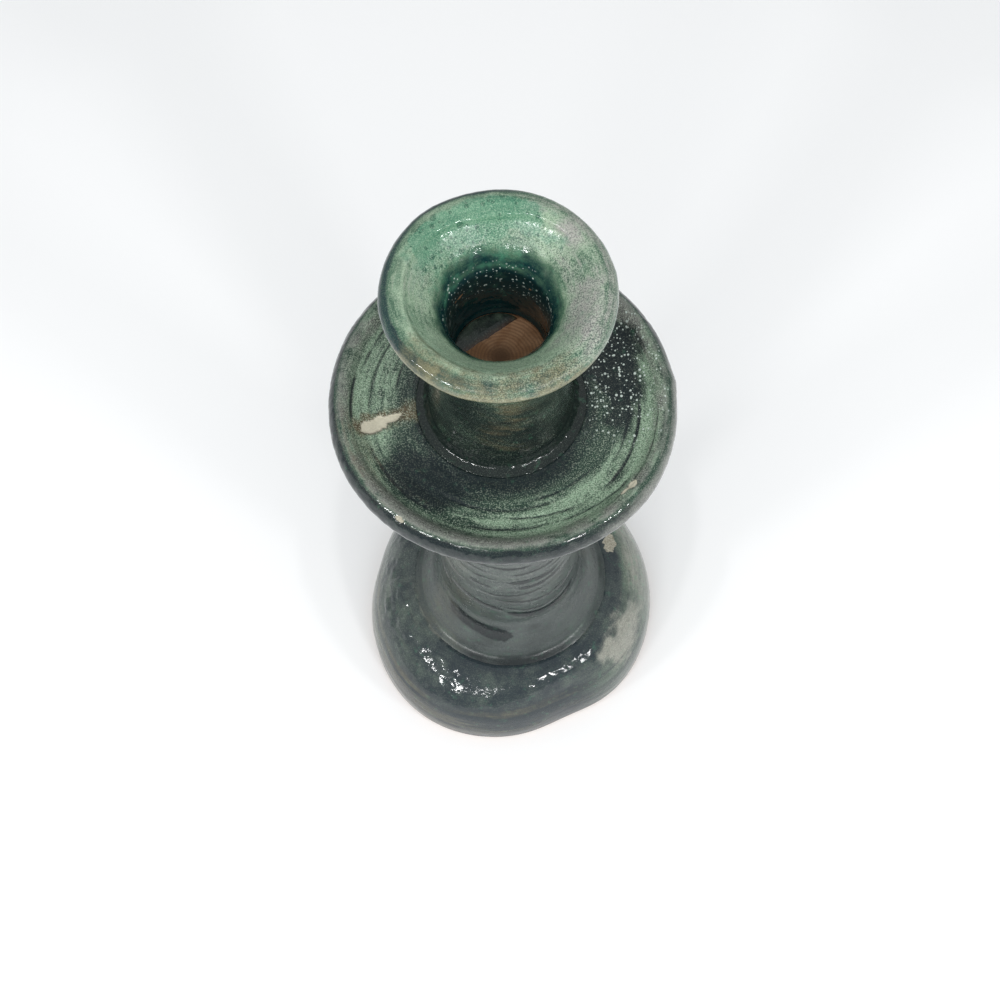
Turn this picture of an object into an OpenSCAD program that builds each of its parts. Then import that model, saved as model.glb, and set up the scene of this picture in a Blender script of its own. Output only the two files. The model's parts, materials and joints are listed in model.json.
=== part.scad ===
// Hand-thrown earthenware candlestick with a drip pan and a flared cup.
// It is thrown in five hollow sections, which are stuck together with slip and then glazed.
// Origin: centre of the foot ring, on the ground. +Z runs up the axis. Millimetres.

/* [Foot] */
// Radius of the foot at its widest, over the glaze
foot_r = 55; // [50:0.5:60]
// Height of the ridge round the top of the foot
foot_h = 33; // [30:0.5:38]
// Thickness of the foot's wall where it stands
foot_wall = 8; // [6:0.5:9]
// Height of the bare clay band above the ground
bare_h = 4; // [3:0.5:6]

/* [Stem] */
// Radius of the stem at mid-height, over the glaze
stem_r = 23.6; // [22:0.2:25]
// Height of the stem between the foot and the drip pan
stem_h = 142; // [120:1:170]
// Radius of the hollow up the middle of the stem, pan and neck
hollow_r = 12; // [9:0.5:12.5]

/* [Drip pan] */
// Radius of the drip pan, over the glaze
pan_r = 52.5; // [48:0.5:58]
// Thickness of the pan under the neck
pan_t = 12; // [11:0.5:14]
// Height of the pan's lip over its floor
pan_lip_h = 5; // [4.5:0.5:7]

/* [Candle socket] */
// Radius of the neck, over the glaze
neck_r = 21.2; // [20:0.2:23]
// Height of the neck from the pan to the flare
neck_h = 48; // [40:1:60]
// Radius of the bore that holds the candle
bore_r = 14; // [12:0.5:15]
// Depth of the straight part of the bore
bore_depth = 18; // [16:1:26]
// Depth of the bevelled well at the bottom of the bore
well_h = 2; // [2:0.5:3]
// Thickness of the clay floor under the bore
floor_t = 9; // [7:0.5:11]

/* [Cup lip] */
// Radius of the flared lip, over the glaze
lip_r = 32.3; // [30:0.2:36]
// Height of the flare
lip_h = 20; // [19:0.5:24]

/* [Finish] */
// Thickness of the glaze
glaze_t = 0.8; // [0.5:0.1:1]
// Thickness of the glaze pool on the socket floor
pool_t = 1.6; // [1:0.1:1.9]
// Fineness of the curves round the axis
$fn = 120; // [60:12:180]

/* [Hidden] */

clay_colour = [0.72, 0.40, 0.26];
slip_colour = [0.62, 0.36, 0.25];
foot_colour = [0.25, 0.31, 0.31];
stem_colour = [0.29, 0.33, 0.31];
pan_colour = [0.28, 0.45, 0.34];
neck_colour = [0.16, 0.27, 0.21];
cup_colour = [0.45, 0.66, 0.53];
pool_colour = [0.35, 0.38, 0.30];

// Heights of the seams between the thrown sections
ledge_drop = 3;
seat_z = foot_h - ledge_drop;
pan_z = seat_z + stem_h;
neck_z = pan_z + pan_t;
lip_z = neck_z + neck_h;
top_z = lip_z + lip_h;
bore_z = lip_z - bore_depth;
floor_z = bore_z - well_h;
floor_r = bore_r - 0.8;

// Radii of the bare clay under the glaze
foot_clay_r = foot_r - glaze_t;
stem_clay_r = stem_r - glaze_t;
pan_clay_r = pan_r - glaze_t;
neck_clay_r = neck_r - glaze_t;
lip_clay_r = lip_r - glaze_t;
crest_z = top_z - glaze_t;

// The foot's top: its ridge, and the ledge that the stem stands on
ridge_r = foot_r - 17;
ledge_r = ridge_r - 0.6;
stem_base_r = ledge_r - 1.4;
stem_mouth_r = stem_base_r - 7;

// Smooth curve through a few points, with this many steps from each to the next
steps = 4;
function mix(a, b, c, d, t) =
    ((2 * b) + (c - a) * t + (2 * a - 5 * b + 4 * c - d) * t * t
     + (3 * b - a - 3 * c + d) * t * t * t) / 2;
function curve(p) =
    let (last = len(p) - 1)
    [for (i = [0 : last - 1], s = [0 : steps - 1])
        mix(p[max(i - 1, 0)], p[i], p[i + 1], p[min(i + 2, last)], s / steps),
     p[last]];

// Bare band at the bottom of the foot
foot_bare = curve([[foot_clay_r - 1.8, 0], [foot_clay_r - 0.5, 1.2], [foot_clay_r, bare_h]]);

// The outside of the clay, from the bare band up to the throat of the cup, one line per piece
foot_line = curve([[foot_clay_r, bare_h], [foot_clay_r - 0.3, foot_h * 0.30],
    [foot_clay_r - 1.9, foot_h * 0.52], [foot_clay_r - 4.8, foot_h * 0.71],
    [foot_clay_r - 8.8, foot_h * 0.87], [ridge_r + 4, foot_h - 1.6],
    [ridge_r + 1.4, foot_h - 0.4], [ridge_r, foot_h - 0.7], [ledge_r, foot_h - 2]]);
foot_slip_line = [[ledge_r, foot_h - 2], [stem_base_r - 0.2, foot_h - 1.6]];
stem_line = curve([[stem_base_r - 0.2, foot_h - 1.6], [stem_base_r - 2, seat_z + 4],
    [stem_clay_r + 8.2, seat_z + 8.2], [stem_clay_r + 5.2, seat_z + 13.5],
    [stem_clay_r + 3, seat_z + 20], [stem_clay_r + 1.8, seat_z + 28],
    [stem_clay_r + 0.6, seat_z + stem_h * 0.40], [stem_clay_r, seat_z + stem_h * 0.62],
    [stem_clay_r + 0.2, seat_z + stem_h * 0.84], [stem_clay_r + 1.6, pan_z - 8],
    [stem_clay_r + 3.4, pan_z - 2.6]]);
pan_slip_line = curve([[stem_clay_r + 3.4, pan_z - 2.6], [stem_clay_r + 4.8, pan_z - 1],
    [stem_clay_r + 7, pan_z]]);
pan_line = curve([[stem_clay_r + 7, pan_z], [pan_clay_r - 15.5, pan_z + 2.4],
    [pan_clay_r - 8, pan_z + 5.4], [pan_clay_r - 2.6, neck_z - 3.6],
    [pan_clay_r - 0.2, neck_z - 1], [pan_clay_r - 0.1, neck_z + 1.6],
    [pan_clay_r - 1.2, neck_z + pan_lip_h - 1.2], [pan_clay_r - 2.6, neck_z + pan_lip_h - 0.1],
    [pan_clay_r - 4.2, neck_z + pan_lip_h - 0.9], [pan_clay_r - 5.8, neck_z + 2],
    [pan_clay_r - 8.4, neck_z + 0.4], [pan_clay_r - 13.5, neck_z - 0.4],
    [neck_clay_r + 11, neck_z - 0.4], [neck_clay_r + 5.2, neck_z]]);
neck_slip_line = curve([[neck_clay_r + 5.2, neck_z], [neck_clay_r + 2.4, neck_z + 1.4],
    [neck_clay_r + 0.8, neck_z + 4]]);
neck_line = curve([[neck_clay_r + 0.8, neck_z + 4], [neck_clay_r + 0.1, neck_z + 9],
    [neck_clay_r, neck_z + neck_h / 2], [neck_clay_r + 0.2, lip_z - 8],
    [neck_clay_r + 0.9, lip_z - 2.4]]);
lip_slip_line = curve([[neck_clay_r + 0.9, lip_z - 2.4], [neck_clay_r + 1.4, lip_z - 1.1],
    [neck_clay_r + 2.2, lip_z]]);
lip_line = curve([[neck_clay_r + 2.2, lip_z], [lip_clay_r - 7, lip_z + 6],
    [lip_clay_r - 3.8, lip_z + 10.4], [lip_clay_r - 0.9, crest_z - 5.2],
    [lip_clay_r, crest_z - 3], [lip_clay_r - 0.9, crest_z - 0.9], [lip_clay_r - 2.9, crest_z],
    [lip_clay_r - 4.9, crest_z - 0.2], [lip_clay_r - 7.5, crest_z - 2.5],
    [lip_clay_r - 11, crest_z - 6.5], [lip_clay_r - 14.2, crest_z - 10.6],
    [bore_r + glaze_t + 0.6, lip_z + 4.4], [bore_r + glaze_t, lip_z]]);

// The lines joined end to end, and the same line moved out by the thickness of the glaze
LINES = [foot_line, foot_slip_line, stem_line, pan_slip_line, pan_line,
         neck_slip_line, neck_line, lip_slip_line, lip_line];
FOOT = 0;
FOOT_SLIP = 1;
PAN_SLIP = 3;
PAN = 4;
NECK_SLIP = 5;
LIP_SLIP = 7;
LIP = 8;
surface = [LINES[0][0], for (l = LINES, i = [1 : len(l) - 1]) l[i]];
function start_of(k) = k == 0 ? 0 : start_of(k - 1) + len(LINES[k - 1]) - 1;
function outward(a, b) = let (d = (b - a) / norm(b - a)) [d.y, -d.x];
function skin(p, t) =
    let (last = len(p) - 1)
    [for (i = [0 : last])
        let (m = outward(p[max(i - 1, 0)], p[max(i, 1)]),
             n = outward(p[min(i, last - 1)], p[min(i + 1, last)]))
        p[i] + t * (m + n) / (1 + m * n)];
glaze_face = skin(surface, glaze_t);

// Hollow inside the foot, from the stem's seat down to the ground
foot_inside = curve([[stem_mouth_r, seat_z], [stem_mouth_r + 1, seat_z - 3.4],
    [stem_mouth_r + 8.6, seat_z - 8], [foot_clay_r - foot_wall - 3, seat_z / 2],
    [foot_clay_r - foot_wall - 0.6, seat_z / 4], [foot_clay_r - foot_wall, 0]]);

// Hollow inside the stem, which narrows from the foot to the straight hollow above it
stem_inside = curve([[hollow_r, seat_z + 30], [hollow_r + 1.2, seat_z + 21],
    [hollow_r + 4, seat_z + 14], [hollow_r + 8.4, seat_z + 8.5],
    [stem_mouth_r - 3.5, seat_z + 4], [stem_mouth_r, seat_z]]);

// Dome over the hollow under the socket floor
dome_z = floor_z - floor_t;
neck_inside = curve([[0, dome_z], [hollow_r * 0.55, dome_z - 1],
    [hollow_r * 0.92, dome_z - 4], [hollow_r, dome_z - 9]]);

// Solid of revolution of an outline
module turned(outline) rotate_extrude() polygon(outline);

// Ring of slip between an outer line and the corners that it fills
module slip_ring(line, corners) color(slip_colour) turned(concat(line, corners));

// Coat of glaze over the lines from number a to number b
module coat(a, b, tint) {
    first = start_of(a);
    last = start_of(b + 1);
    color(tint) turned(concat([for (i = [first : last]) surface[i]],
                              [for (i = [last : -1 : first]) glaze_face[i]]));
}

module foot() {
    ledge = [[ledge_r, seat_z]];
    color(clay_colour) turned(concat(foot_bare, foot_line, ledge, foot_inside));
}

module stem() {
    base = [[stem_base_r, seat_z]];
    top = [[stem_clay_r + 3.4, pan_z], [hollow_r, pan_z]];
    color(clay_colour) turned(concat(base, stem_line, top, stem_inside));
}

module drip_pan() {
    under = [[hollow_r, pan_z], [stem_clay_r + 7, pan_z]];
    top = [[hollow_r, neck_z]];
    color(clay_colour) turned(concat(under, pan_line, top));
}

module candle_socket() {
    base = [[hollow_r, neck_z], [neck_clay_r + 0.8, neck_z]];
    bore = [[neck_clay_r + 0.9, lip_z], [bore_r, lip_z], [bore_r, bore_z],
            [floor_r, floor_z], [0, floor_z]];
    color(clay_colour) turned(concat(base, neck_line, bore, neck_inside));
}

module cup_lip() color(clay_colour) turned(lip_line);

module foot_stem_slip() slip_ring(foot_slip_line, [[stem_base_r, seat_z], [ledge_r, seat_z]]);
module stem_pan_slip() slip_ring(pan_slip_line, [[stem_clay_r + 3.4, pan_z]]);
module pan_socket_slip() slip_ring(neck_slip_line, [[neck_clay_r + 0.8, neck_z]]);
module socket_lip_slip() slip_ring(lip_slip_line, [[neck_clay_r + 0.9, lip_z]]);

module foot_glaze() coat(FOOT, FOOT, foot_colour);
module stem_glaze() coat(FOOT_SLIP, PAN_SLIP, stem_colour);
module pan_glaze() coat(PAN, PAN, pan_colour);
module neck_glaze() coat(NECK_SLIP, LIP_SLIP, neck_colour);
module cup_glaze() coat(LIP, LIP, cup_colour);

// Pool that set against one side of the bore, with a straight edge across the socket floor
module floor_glaze() {
    pool_side = 123;
    pool_edge = bore_r * 0.47;
    color(pool_colour)
    translate([0, 0, floor_z])
    intersection() {
        cylinder(r1 = floor_r, r2 = floor_r + (bore_r - floor_r) * pool_t / well_h, h = pool_t);
        rotate(pool_side)
            translate([pool_edge, -bore_r, 0])
            cube([bore_r, 2 * bore_r, pool_t]);
    }
}

foot();
stem();
drip_pan();
candle_socket();
cup_lip();
foot_stem_slip();
stem_pan_slip();
pan_socket_slip();
socket_lip_slip();
foot_glaze();
stem_glaze();
pan_glaze();
neck_glaze();
cup_glaze();
floor_glaze();
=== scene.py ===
"""Hand-thrown earthenware candlestick under green glaze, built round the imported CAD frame.

Every CAD node but the pool on the socket floor is a turned section. Each is turned again here from
its own outline, fine enough to carry what the potter's hand and the kiln left on it: lobes, throwing
rings, tears, runs and chips. Lengths are in millimetres until a mesh is made, angles in degrees
round the axis from +X, so the front is at -90.
"""
import json
import math
from itertools import product

import bpy
import numpy as np
from mathutils import Matrix, Vector

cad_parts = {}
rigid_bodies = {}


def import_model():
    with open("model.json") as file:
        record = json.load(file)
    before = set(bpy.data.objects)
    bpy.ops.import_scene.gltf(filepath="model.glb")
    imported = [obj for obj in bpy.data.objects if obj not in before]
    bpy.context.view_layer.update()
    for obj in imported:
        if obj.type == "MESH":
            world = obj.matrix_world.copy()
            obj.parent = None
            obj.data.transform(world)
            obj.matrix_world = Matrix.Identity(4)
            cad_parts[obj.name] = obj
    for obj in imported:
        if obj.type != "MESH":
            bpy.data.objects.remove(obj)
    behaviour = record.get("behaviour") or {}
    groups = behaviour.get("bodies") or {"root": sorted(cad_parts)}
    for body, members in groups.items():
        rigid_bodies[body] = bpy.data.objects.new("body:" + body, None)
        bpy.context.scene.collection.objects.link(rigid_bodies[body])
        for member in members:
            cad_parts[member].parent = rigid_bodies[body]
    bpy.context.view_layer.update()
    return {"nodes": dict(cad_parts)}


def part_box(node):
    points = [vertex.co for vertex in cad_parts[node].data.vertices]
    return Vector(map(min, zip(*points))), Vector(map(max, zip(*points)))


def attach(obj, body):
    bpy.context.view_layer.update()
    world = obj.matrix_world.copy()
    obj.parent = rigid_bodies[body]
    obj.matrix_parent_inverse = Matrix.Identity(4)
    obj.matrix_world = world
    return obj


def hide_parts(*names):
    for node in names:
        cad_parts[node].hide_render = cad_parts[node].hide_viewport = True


for unused in list(bpy.data.objects):
    bpy.data.objects.remove(unused)
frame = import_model()

MM = 0.001
PHOTO_SIDE = 1000
QUADS = 95_000                 # about this many on the face of each coat
SAME_CORNER = 0.02             # corners of an outline closer than this are one
RING_REACH = 4                 # radius of the cylinder that drawn-out noise is laid on
HIGHEST_LIFT = 2.4             # no coat stands off further than this
WINDOWS = ((-150, 2.2), (-128, 2.4), (-108, 0.8), (-62, 2.4), (-38, 2.2))     # direction and watts


# ---------------------------------------------------------------- camera, floor and light

def make_camera():
    """The photograph looks steeply down on the candlestick from in front, a little askew."""
    focal_px, sensor = 1700, 36
    down, roll, sideways = math.radians(66.95), math.radians(-2.35), 6.5
    camera = bpy.data.cameras.new("camera")
    camera.sensor_width = sensor
    camera.lens = focal_px * sensor / PHOTO_SIDE
    camera.shift_x = -sideways / PHOTO_SIDE
    camera.clip_start = 0.01
    holder = bpy.data.objects.new("camera", camera)
    turn = Matrix.Rotation(math.pi / 2 - down, 4, "X") @ Matrix.Rotation(roll, 4, "Z")
    holder.matrix_world = Matrix.Translation((0, -0.2287, 0.6447)) @ turn
    bpy.context.scene.collection.objects.link(holder)
    bpy.context.scene.camera = holder


def area_light(name, place, target, size, power):
    lamp = bpy.data.lights.new(name, "AREA")
    lamp.shape = "RECTANGLE"
    lamp.size, lamp.size_y = size
    lamp.energy = power
    holder = bpy.data.objects.new(name, lamp)
    holder.location = place
    holder.rotation_euler = (Vector(target) - Vector(place)).to_track_quat("-Z", "Y").to_euler()
    bpy.context.scene.collection.objects.link(holder)
    return holder


def make_stage():
    """White paper in a pale room, a broad soft light overhead and a row of small windows in front.

    The overhead light makes no highlights: those in the photograph are the windows' alone.
    """
    bpy.context.scene.view_settings.view_transform = "Standard"
    world = bpy.data.worlds.new("studio")
    world.use_nodes = True
    sky = world.node_tree.nodes["Background"]
    sky.inputs["Color"].default_value = (0.95, 0.98, 1.0, 1)
    sky.inputs["Strength"].default_value = 0.55
    bpy.context.scene.world = world
    side = 3.0
    mesh = bpy.data.meshes.new("floor")
    corners = [(-side, -side, 0), (side, -side, 0), (side, side, 0), (-side, side, 0)]
    mesh.from_pydata(corners, [], [(0, 1, 2, 3)])
    floor = bpy.data.objects.new("floor", mesh)
    bpy.context.scene.collection.objects.link(floor)
    paper = bpy.data.materials.new("pale_paper")
    paper.use_nodes = True
    shader = paper.node_tree.nodes["Principled BSDF"]
    shader.inputs["Base Color"].default_value = (0.95, 0.95, 0.95, 1)
    shader.inputs["Roughness"].default_value = 0.9
    mesh.materials.append(paper)
    middle = (0, 0, 0.12)
    overhead = area_light("overhead", (0, -0.75, 1.5), middle, (1.6, 1.2), 11)
    overhead.visible_glossy = False
    away, height, size = 1.09, 0.69, (0.15, 0.032)
    for number, (direction, power) in enumerate(WINDOWS):
        way = math.radians(direction)
        place = (away * math.cos(way), away * math.sin(way), height)
        area_light(f"window_{number}", place, middle, size, power)


# ---------------------------------------------------------------- seeded noise and soft masks

def grain(points, seed):
    """Smooth noise between -1 and 1, one wave per unit, at an array of points in space."""
    cell = np.floor(points).astype(np.int64)
    part = points - cell
    part = part * part * part * (part * (part * 6 - 15) + 10)
    total = 0
    for corner in product((0, 1), repeat=3):
        at = cell + np.array(corner)
        mixed = at[..., 0] * 73856093 ^ at[..., 1] * 19349663 ^ at[..., 2] * 83492791
        mixed = (mixed ^ seed * 2654435761) & 0xFFFFFFFF
        mixed = (mixed ^ mixed >> 15) * 2246822519 & 0xFFFFFFFF
        mixed = (mixed ^ mixed >> 13) * 3266489917 & 0xFFFFFFFF
        value = (mixed ^ mixed >> 16) / 2147483648 - 1
        weight = np.prod(np.where(corner, part, 1 - part), axis=-1)
        total = total + value * weight
    return total


def layers(points, seed, count=3):
    """Several sizes of noise, each half as large and half as strong as the one before."""
    total = sum(grain(points * 2 ** k, seed + k) / 2 ** k for k in range(count))
    return total / (2 - 0.5 ** (count - 1))


def step(low, high, value):
    """Soft step from 0 at low to 1 at high; low may be the larger."""
    part = np.clip((value - low) / (high - low), 0, 1)
    return part * part * (3 - 2 * part)


def off(angle, degrees):
    """Degrees from a direction round the axis to an angle in radians, between -180 and 180."""
    return (np.degrees(angle) - degrees + 180) % 360 - 180


def around(angle, degrees, width):
    """Soft bump round the axis: 1 at a direction, fading over a width."""
    return np.exp(-(off(angle, degrees) / width) ** 2)


def hump(value, centre, width):
    """Soft bump along a length."""
    return np.exp(-((value - centre) / width) ** 2)


def band(value, low, high, soft):
    """1 between low and high, with soft ends."""
    return step(low - soft, low + soft, value) * step(high + soft, high - soft, value)


def sector(angle, start, end, soft):
    """1 from start to end, counted anticlockwise in degrees, with soft ends."""
    middle, half = (start + end) / 2, (end - start) / 2
    return step(half + soft, half - soft, np.abs(off(angle, middle)))


# ---------------------------------------------------------------- outlines of the CAD nodes

def outline(node):
    """Corners (radius, height) of a turned node's outline, in order, and whether it meets the axis."""
    mesh = frame["nodes"][node].data
    at = np.array([v.co for v in mesh.vertices]) / MM
    flat = np.column_stack([np.hypot(at[:, 0], at[:, 1]), at[:, 2]])
    corners, label, known = [], [], {}
    for point in flat:
        key = tuple(np.round(point, 3))
        if key not in known:
            near = [i for i, c in enumerate(corners) if math.hypot(*(c - point)) < SAME_CORNER]
            known[key] = near[0] if near else len(corners)
            if not near:
                corners.append(point)
        label.append(known[key])
    links = {i: set() for i in range(len(corners))}
    for edge in mesh.edges:
        a, b = (label[v] for v in edge.vertices)
        if a != b:
            links[a].add(b)
            links[b].add(a)
    ends = [i for i in links if len(links[i]) == 1]
    chain = [min(ends or links, key=lambda i: corners[i][1])]
    while True:
        onward = sorted(i for i in links[chain[-1]] if i not in chain)
        if not onward:
            break
        chain.append(onward[0])
    if len(chain) != len(corners):
        raise RuntimeError(f"{node}: its outline has {len(corners)} corners and {len(chain)} join up")
    return np.array([corners[i] for i in chain]), bool(ends)


def bend_at(line, closed):
    """How far an outline turns at each of its corners, in degrees."""
    before = line - np.roll(line, 1, axis=0)
    after = np.roll(line, -1, axis=0) - line
    turn = np.arctan2(after[:, 1], after[:, 0]) - np.arctan2(before[:, 1], before[:, 0])
    turn = np.abs((np.degrees(turn) + 180) % 360 - 180)
    if not closed:
        turn[[0, -1]] = 180
    return turn


def stretches(line, closed, sharpest):
    """An outline cut into its smooth stretches at every corner sharper than this many degrees."""
    cuts = list(np.flatnonzero(bend_at(line, closed) > sharpest))
    if closed:
        line = np.concatenate([line[cuts[0]:], line[:cuts[0] + 1]])
        cuts = [c - cuts[0] for c in cuts] + [len(line) - 1]
    return [line[a:b + 1] for a, b in zip(cuts, cuts[1:])]


def length_of(line):
    return float(np.hypot(*np.diff(line, axis=0).T).sum())


def fair(line, spacing):
    """The same line through its corners as a smooth curve, with points about this far apart."""
    leg = np.hypot(*np.diff(line, axis=0).T)
    knots = np.concatenate([[0], np.cumsum(leg)])
    ahead = np.gradient(line, knots, axis=0)
    count = max(2, int(round(knots[-1] / spacing)) + 1)
    at = np.linspace(0, knots[-1], count)
    i = np.clip(np.searchsorted(knots, at, side="right") - 1, 0, len(knots) - 2)
    span = (knots[i + 1] - knots[i])[:, None]
    t = (at - knots[i])[:, None] / span
    return ((2 * t ** 3 - 3 * t ** 2 + 1) * line[i] + (t ** 3 - 2 * t ** 2 + t) * span * ahead[i]
            + (3 * t ** 2 - 2 * t ** 3) * line[i + 1] + (t ** 3 - t ** 2) * span * ahead[i + 1])


OUTLINES = {n: outline(n) for n in sorted(frame["nodes"]) if n != "floor_glaze"}
COATS = ["foot_glaze", "stem_glaze", "pan_glaze", "neck_glaze", "cup_glaze"]
BODIES = [n for n in OUTLINES if n not in COATS]
CLAY_CORNERS = np.concatenate([OUTLINES[n][0] for n in BODIES])


def coat_lines(node):
    """The two long sides of a coat of glaze: its face, from the foot's end, and its back."""
    loop, _ = OUTLINES[node]
    sides = sorted(stretches(loop, True, 50), key=length_of)[-2:]
    gap = [np.median([np.hypot(*(CLAY_CORNERS - p).T).min() for p in side]) for side in sides]
    face, back = (sides[i] for i in np.argsort(gap)[::-1])
    inward = back[len(back) // 2] - face[np.hypot(*(face - back[len(back) // 2]).T).argmin()]
    near = np.hypot(*(face - back[len(back) // 2]).T).argmin()
    ahead = face[min(near + 1, len(face) - 1)] - face[max(near - 1, 0)]
    if ahead[1] * inward[0] - ahead[0] * inward[1] > 0:
        face = face[::-1]
    if np.hypot(*(back[0] - face[0])) < np.hypot(*(back[-1] - face[0])):
        back = back[::-1]
    return face, back


# Landmarks of the object, read from the frame
FACES = {node: coat_lines(node) for node in COATS}
GLAZE = float(np.median([np.hypot(*(CLAY_CORNERS - p).T).min() for p in FACES["stem_glaze"][0]]))
FOOT_R = FACES["foot_glaze"][0][:, 0].max()
SEAT_Z = OUTLINES["stem"][0][:, 1].min()
PAN_R = FACES["pan_glaze"][0][:, 0].max()
PAN_Z = FACES["pan_glaze"][0][FACES["pan_glaze"][0][:, 0].argmax(), 1]
LIP_R = FACES["cup_glaze"][0][:, 0].max()
THROAT_Z = OUTLINES["candle_socket"][0][:, 1].max()
BORE_R = FACES["cup_glaze"][0][-1, 0]
FLOOR_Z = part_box("floor_glaze")[0].z / MM
POOL_SIDE = math.radians(123)
POOL_EDGE = BORE_R * 0.47


# ---------------------------------------------------------------- how the hand left the shape

def thrown(r, z, angle):
    """Where a point of the turned shape really is: x, y and z arrays, in mm."""
    foot_wall = step(0.5, 0.9, r / FOOT_R) * step(SEAT_Z + 6, SEAT_Z - 8, z)
    foot_lobes = (3.1 * around(angle, -126, 32) - 2.6 * around(angle, -68, 17)
                  - 1.4 * around(angle, 165, 16) + 0.4 * np.cos(2 * angle))
    pan_edge = step(0.55, 0.95, r / PAN_R) * band(z, PAN_Z - 16, PAN_Z + 10, 2)
    pan_lobes = (1.5 * around(angle, -40, 34) + 0.5 * around(angle, 3, 3.5)
                 - 0.7 * around(angle, 35, 30) - 0.5 * around(angle, 165, 30))
    lip_edge = step(0.6, 1.0, r / LIP_R) * step(THROAT_Z, THROAT_Z + 10, z)
    lip_lobes = 0.4 * around(angle, 128, 12) - 0.4 * around(angle, 50, 40)
    radius = r + foot_wall * foot_lobes + pan_edge * pan_lobes + lip_edge * lip_lobes
    height = (z + pan_edge * (0.5 * np.sin(2 * angle + 1) + 0.25 * np.sin(5 * angle))
              + lip_edge * (0.35 * np.sin(2 * angle) + 0.15 * np.sin(5 * angle + 2))
              + foot_wall * step(0, 20, z) * 0.6 * np.sin(3 * angle + 0.5))
    sway = 0.35 * np.sin(z / 38)
    return np.stack(np.broadcast_arrays(radius * np.cos(angle) + sway * step(10, 40, z),
                                        radius * np.sin(angle), height), axis=-1)


def outward_of(line):
    """Unit vectors (radial, up) that point out of the clay along a coat's face."""
    ahead = np.gradient(line, axis=0)
    ahead /= np.hypot(*ahead.T)[:, None]
    return np.column_stack([ahead[:, 1], -ahead[:, 0]])


def make_mesh(name, grid, first_pole, last_pole, closed, masks):
    """A turned grid (rows, columns, xyz in mm) as a closed mesh, with a value per point for each mask."""
    rows, columns = grid.shape[:2]
    points = [grid.reshape(-1, 3)]
    if first_pole:
        points.append(grid[:1].mean(axis=1))
    if last_pole:
        points.append(grid[-1:].mean(axis=1))
    points = np.concatenate(points) * MM
    row = np.arange(rows if closed else rows - 1)[:, None]
    column = np.arange(columns)[None, :]
    beside = (column + 1) % columns
    above = (row + 1) % rows
    quads = np.stack([row * columns + column, row * columns + beside,
                      above * columns + beside, above * columns + column], axis=-1).reshape(-1, 4)
    faces = quads.tolist()
    pole = rows * columns
    if first_pole:
        faces += [(pole, b, a) for a, b in zip(range(columns), np.roll(range(columns), -1).tolist())]
        pole += 1
    if last_pole:
        last = (rows - 1) * columns
        faces += [(pole, last + a, last + b)
                  for a, b in zip(range(columns), np.roll(range(columns), -1).tolist())]
    mesh = bpy.data.meshes.new(name)
    mesh.from_pydata(points, [], faces)
    volume_sign = np.einsum("ij,ij->i", points[quads[:, 0]],
                            np.cross(points[quads[:, 1]], points[quads[:, 2]])).sum()
    if volume_sign < 0:
        mesh.flip_normals()
    mesh.shade_smooth()
    for mask, values in masks.items():
        flat = values.reshape(rows * columns, -1)
        flat = np.concatenate([flat] + [flat[:1]] * first_pole + [flat[-1:]] * last_pole)
        if flat.shape[1] == 3:
            mesh.attributes.new(mask, "FLOAT_VECTOR", "POINT").data.foreach_set("vector", flat.ravel())
        else:
            mesh.attributes.new(mask, "FLOAT", "POINT").data.foreach_set("value", flat.ravel())
    return mesh


def finish_piece(node, mesh, material):
    """Puts a mesh in the scene in a CAD node's place, with that node's finish."""
    piece = bpy.data.objects.new("fired_" + node, mesh)
    bpy.context.scene.collection.objects.link(piece)
    mesh.materials.append(material)
    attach(piece, "root")
    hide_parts(node)
    return piece


def angles(columns):
    return np.arange(columns) * 2 * math.pi / columns


# ---------------------------------------------------------------- coats of glaze

# Where the glaze pooled dark and where shade is painted, is opaque and minty, is worn grey, ran brown,
# came off, is flecked with white, is emerald, and is gritty; the minty and grey ones also hold painted
# highlights
MASKS = ("pool", "mint_and_glint", "ash_and_glint", "rust", "bare", "fleck", "copper", "grit")


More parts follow.
